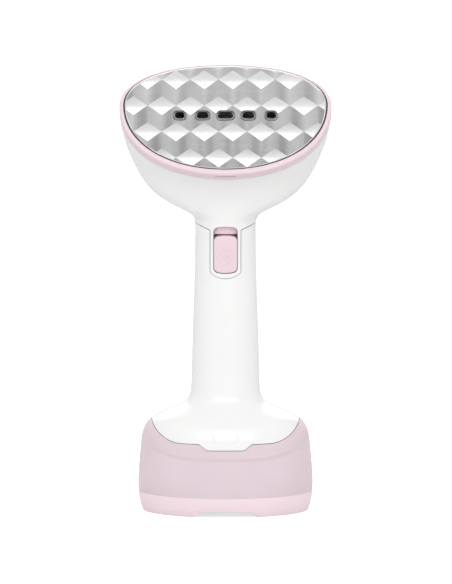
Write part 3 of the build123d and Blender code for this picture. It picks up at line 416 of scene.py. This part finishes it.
def surface(name, colour, roughness, metallic=0.0, stretch=(1, 1, 1), mottle=70.0, mottle_share=0.03,
            grain=1800.0, grain_depth=0.01, rough_share=0.15, wear=0.0, **sockets):
    """A procedural material: broad mottling in its colour, fine grain in its roughness and relief, and
    edges a little lighter where `wear` is over zero. Scales are per metre and grain_depth is in mm."""
    made = bpy.data.materials.new(name)
    made.use_nodes = True
    tree = made.node_tree
    shader = tree.nodes["Principled BSDF"]
    shader.inputs["Metallic"].default_value = metallic
    for key, value in sockets.items():
        shader.inputs[key.replace("_", " ")].default_value = value

    where = tree.nodes.new("ShaderNodeTexCoord")
    scaled = node_of(tree, "ShaderNodeMapping", Scale=stretch)
    broad = node_of(tree, "ShaderNodeTexNoise", Scale=mottle, Detail=4.0, Roughness=0.6)
    fine = node_of(tree, "ShaderNodeTexNoise", Scale=grain, Detail=3.0, Roughness=0.65)
    tree.links.new(where.outputs["Object"], scaled.inputs["Vector"])
    for noise in (broad, fine):
        tree.links.new(scaled.outputs["Vector"], noise.inputs["Vector"])

    tone = tree.nodes.new("ShaderNodeValToRGB")
    shares = (1 - mottle_share, 1 + mottle_share)
    for stop, place, share in zip(tone.color_ramp.elements, (NOISE_LOW, NOISE_HIGH), shares):
        stop.position = place
        stop.color = (*(min(c * share, 1.0) for c in colour), 1.0)
    tree.links.new(broad.outputs["Fac"], tone.inputs["Fac"])
    last = tone.outputs["Color"]
    if wear:
        edge = tree.nodes.new("ShaderNodeNewGeometry")
        pick = node_of(tree, "ShaderNodeMapRange", From_Min=EDGE_LOW, From_Max=EDGE_HIGH, To_Min=0.0,
                       To_Max=wear)
        worn = tree.nodes.new("ShaderNodeMix")
        worn.data_type = "RGBA"
        worn.inputs["B"].default_value = (*(min(c * WORN_GAIN + WORN_LIFT, 1.0) for c in colour), 1.0)
        tree.links.new(edge.outputs["Pointiness"], pick.inputs["Value"])
        tree.links.new(pick.outputs["Result"], worn.inputs["Factor"])
        tree.links.new(last, worn.inputs["A"])
        last = worn.outputs["Result"]
    tree.links.new(last, shader.inputs["Base Color"])

    polish = node_of(tree, "ShaderNodeMapRange", From_Min=NOISE_LOW, From_Max=NOISE_HIGH,
                     To_Min=roughness * (1 - rough_share), To_Max=roughness * (1 + rough_share))
    tree.links.new(fine.outputs["Fac"], polish.inputs["Value"])
    tree.links.new(polish.outputs["Result"], shader.inputs["Roughness"])
    relief = node_of(tree, "ShaderNodeBump", Strength=1.0, Distance=grain_depth * MM)
    tree.links.new(fine.outputs["Fac"], relief.inputs["Height"])
    tree.links.new(relief.outputs["Normal"], shader.inputs["Normal"])
    return made


def gloss_white():
    return surface("white_shell", (0.90, 0.90, 0.895), 0.24, mottle=45, mottle_share=0.008, grain=900,
                   grain_depth=0.004, Coat_Weight=0.35, Coat_Roughness=0.12, Specular_IOR_Level=0.45,
                   Subsurface_Weight=0.08, Subsurface_Radius=(0.004, 0.004, 0.004))


def satin_white():
    return surface("white_inner", (0.84, 0.84, 0.83), 0.42, mottle_share=0.02, grain=2600, grain_depth=0.012)


def pink_plastic(name, colour, roughness=0.34):
    return surface(name, colour, roughness, mottle=60, mottle_share=0.015, grain=2600, grain_depth=0.008,
                   Subsurface_Weight=0.1, Subsurface_Radius=(0.006, 0.004, 0.004))


def frosted_pink():
    return surface("pink_tank", (1.0, 0.862, 0.915), 0.2, mottle=50, mottle_share=0.012, grain=2200,
                   grain_depth=0.004, rough_share=0.1, IOR=1.2, Transmission_Weight=0.33)


def polished_plate():
    return surface("steam_plate", (0.80, 0.80, 0.81), 0.2, metallic=1.0, mottle=120, mottle_share=0.035,
                   stretch=(1, 2.4, 2.4), grain=1400, grain_depth=0.004, rough_share=0.25)


def metal(name, colour, roughness, **more):
    values = {"mottle_share": 0.05, "grain_depth": 0.006, "rough_share": 0.25, "wear": 0.35}
    return surface(name, colour, roughness, metallic=1.0, **{**values, **more})


def rubber(name, colour, roughness=0.62, **more):
    values = {"mottle_share": 0.08, "grain": 3200, "grain_depth": 0.02}
    return surface(name, colour, roughness, **{**values, **more})


MATERIALS = {
    "white_shell": gloss_white(),
    "white_inner": satin_white(),
    "pink_trim": pink_plastic("pink_trim", (0.825, 0.668, 0.72)),
    "pink_foot": pink_plastic("pink_foot", (0.93, 0.765, 0.82)),
    "pink_button": pink_plastic("pink_button", (0.84, 0.665, 0.725), roughness=0.3),
    "pink_tank": frosted_pink(),
    "steam_plate": polished_plate(),
    "outlet_metal": metal("outlet_metal", (0.5, 0.5, 0.51), 0.14, mottle_share=0.02),
    "cast_aluminium": metal("cast_aluminium", (0.56, 0.56, 0.57), 0.5, grain=1200, grain_depth=0.05),
    "heater_steel": metal("heater_steel", (0.38, 0.33, 0.30), 0.4, mottle=180, mottle_share=0.18),
    "strap_steel": metal("strap_steel", (0.62, 0.62, 0.63), 0.38, mottle=260, mottle_share=0.12),
    "screw_steel": metal("screw_steel", (0.66, 0.66, 0.65), 0.3),
    "spring_steel": metal("spring_steel", (0.56, 0.56, 0.57), 0.26),
    "brass_fitting": metal("brass_fitting", (0.78, 0.58, 0.27), 0.28, stretch=(1, 1, 6)),
    "motor_steel": metal("motor_steel", (0.55, 0.55, 0.56), 0.32, stretch=(1, 1, 8)),
    "grey_silicone": rubber("grey_silicone", (0.075, 0.072, 0.075), 0.45),
    "clear_silicone": rubber("clear_silicone", (0.86, 0.85, 0.85), 0.34, mottle_share=0.02, grain_depth=0.006,
                             Transmission_Weight=0.45, IOR=1.4),
    "black_rubber": rubber("black_rubber", (0.03, 0.03, 0.03)),
    "black_plastic": surface("black_plastic", (0.035, 0.035, 0.037), 0.4, mottle_share=0.1, wear=0.15),
    "grey_plastic": surface("grey_plastic", (0.30, 0.30, 0.31), 0.42, mottle_share=0.05, wear=0.15),
    "thermostat_ceramic": surface("thermostat_ceramic", (0.80, 0.74, 0.64), 0.55, mottle=220,
                                  mottle_share=0.05, grain_depth=0.02),
    "board_green": surface("board_green", (0.03, 0.20, 0.09), 0.3, mottle=400, mottle_share=0.2,
                           Coat_Weight=0.4),
}


def dress(piece, slot):
    piece.data.materials.clear()
    piece.data.materials.append(MATERIALS[slot])


# ---------------------------------------------------------------- stage: floor, light and camera
FLOOR_HALF = 12.0
AIM = Vector((0.0003, 0, 0.1282))
VIEW_DISTANCE, VIEW_RISE = 10.0, radians(7)
VIEW_HIGH = 0.3422              # height that the picture shows at the object
SENSOR = 36.0
CLIP_END = 100
FLOOR_TONE, FLOOR_ROUGHNESS = 0.82, 0.9
FLOOR_GLOW, SURROUND, OVERHEAD = 0.68, 1.06, 0.05
FADE_LOW, FADE_HIGH = 0.86, 0.94        # height in the sky where the surround starts and ends to darken
MIDDLE, HEAD = (0, 0, 0.13), (0, -0.01, 0.25)
# Each softbox: its name, place, size, radiance and what it points at.
SOFTBOXES = [
    ("front_box", (0, -1.25, 0.95), (1.9, 0.8), 1.72, HEAD),
    ("top_panel", (0, 0.06, 0.72), (0.7, 0.49), 0.42, (0, 0.06, 0)),
    ("top_strip", (0, -0.2, 0.72), (0.2, 0.1), 0.54, (0, -0.2, 0)),
    ("back_box", (0, 1.6, 0.9), (1.6, 1.0), 1.0, MIDDLE),
]


def seen_brighter(tree, plain, bright):
    """Joins two shaders: the camera sees the bright one, and everything else the plain one."""
    ray = tree.nodes.new("ShaderNodeLightPath")
    mix = tree.nodes.new("ShaderNodeMixShader")
    tree.links.new(ray.outputs["Is Camera Ray"], mix.inputs["Fac"])
    tree.links.new(plain.outputs[0], mix.inputs[1])
    tree.links.new(bright.outputs[0], mix.inputs[2])
    return mix


def make_floor():
    half, low = FLOOR_HALF, cad_low.z
    mesh = mesh_of("floor", [(-half, -half, low), (half, -half, low), (half, half, low), (-half, half, low)],
                   [(0, 1, 2, 3)])
    floor = new_object("floor", mesh)
    made = bpy.data.materials.new("pale_floor")
    made.use_nodes = True
    tree = made.node_tree
    plain = tree.nodes["Principled BSDF"]
    bright = tree.nodes.new("ShaderNodeBsdfPrincipled")
    for shader in (plain, bright):
        shader.inputs["Base Color"].default_value = (FLOOR_TONE, FLOOR_TONE, FLOOR_TONE, 1)
        shader.inputs["Roughness"].default_value = FLOOR_ROUGHNESS
    bright.inputs["Emission Color"].default_value = (1, 1, 1, 1)
    bright.inputs["Emission Strength"].default_value = FLOOR_GLOW
    shown = seen_brighter(tree, plain, bright)
    tree.links.new(shown.outputs["Shader"], tree.nodes["Material Output"].inputs["Surface"])
    floor.data.materials.append(made)


def make_world():
    """White to the camera. What it lights sees a pale surround that darkens overhead."""
    world = bpy.data.worlds.new("studio")
    bpy.context.scene.world = world
    world.use_nodes = True
    tree = world.node_tree
    white = tree.nodes["Background"]
    white.inputs["Color"].default_value = (1, 1, 1, 1)
    surround = tree.nodes.new("ShaderNodeBackground")
    way = tree.nodes.new("ShaderNodeTexCoord")
    split = tree.nodes.new("ShaderNodeSeparateXYZ")
    fade = node_of(tree, "ShaderNodeMapRange", From_Min=FADE_LOW, From_Max=FADE_HIGH, To_Min=SURROUND,
                   To_Max=OVERHEAD)
    fade.interpolation_type = "SMOOTHSTEP"
    tree.links.new(way.outputs["Generated"], split.inputs["Vector"])
    tree.links.new(split.outputs["Z"], fade.inputs["Value"])
    tree.links.new(fade.outputs["Result"], surround.inputs["Strength"])
    shown = seen_brighter(tree, surround, white)
    tree.links.new(shown.outputs["Shader"], tree.nodes["World Output"].inputs["Surface"])


def softbox(name, place, size, radiance, target):
    light = bpy.data.lights.new(name, "AREA")
    light.shape = "RECTANGLE"
    light.size, light.size_y = size
    light.energy = radiance * pi * size[0] * size[1]
    lamp = bpy.data.objects.new(name, light)
    lamp.location = place
    lamp.rotation_mode = "QUATERNION"
    lamp.rotation_quaternion = (Vector(target) - Vector(place)).to_track_quat("-Z", "Y")
    lamp.visible_camera = False
    bpy.context.scene.collection.objects.link(lamp)


def make_camera():
    lens = bpy.data.cameras.new("camera")
    lens.sensor_width = SENSOR
    lens.lens = SENSOR * VIEW_DISTANCE / VIEW_HIGH
    lens.clip_end = CLIP_END
    camera = bpy.data.objects.new("camera", lens)
    back = Vector((0, -cos(VIEW_RISE), sin(VIEW_RISE)))
    camera.location = AIM + back * VIEW_DISTANCE
    camera.rotation_mode = "QUATERNION"
    camera.rotation_quaternion = (-back).to_track_quat("-Z", "Y")
    bpy.context.scene.collection.objects.link(camera)
    bpy.context.scene.camera = camera


# ---------------------------------------------------------------- making
make_camera()
make_world()
for lamp in SOFTBOXES:
    softbox(*lamp)
make_floor()

for part in frame["record"]["subparts"]:
    dress(NODES[part["node"]], part["material_slot"])

dress(make_soleplate(), "steam_plate")
dress(make_outlets(), "outlet_metal")
badge, sign = make_marks()
# the blank frame's greyer satin white is painted shade along its raised lines
dress(badge, "white_inner")
dress(sign, "pink_button")

bpy.context.scene.view_settings.view_transform = "Standard"
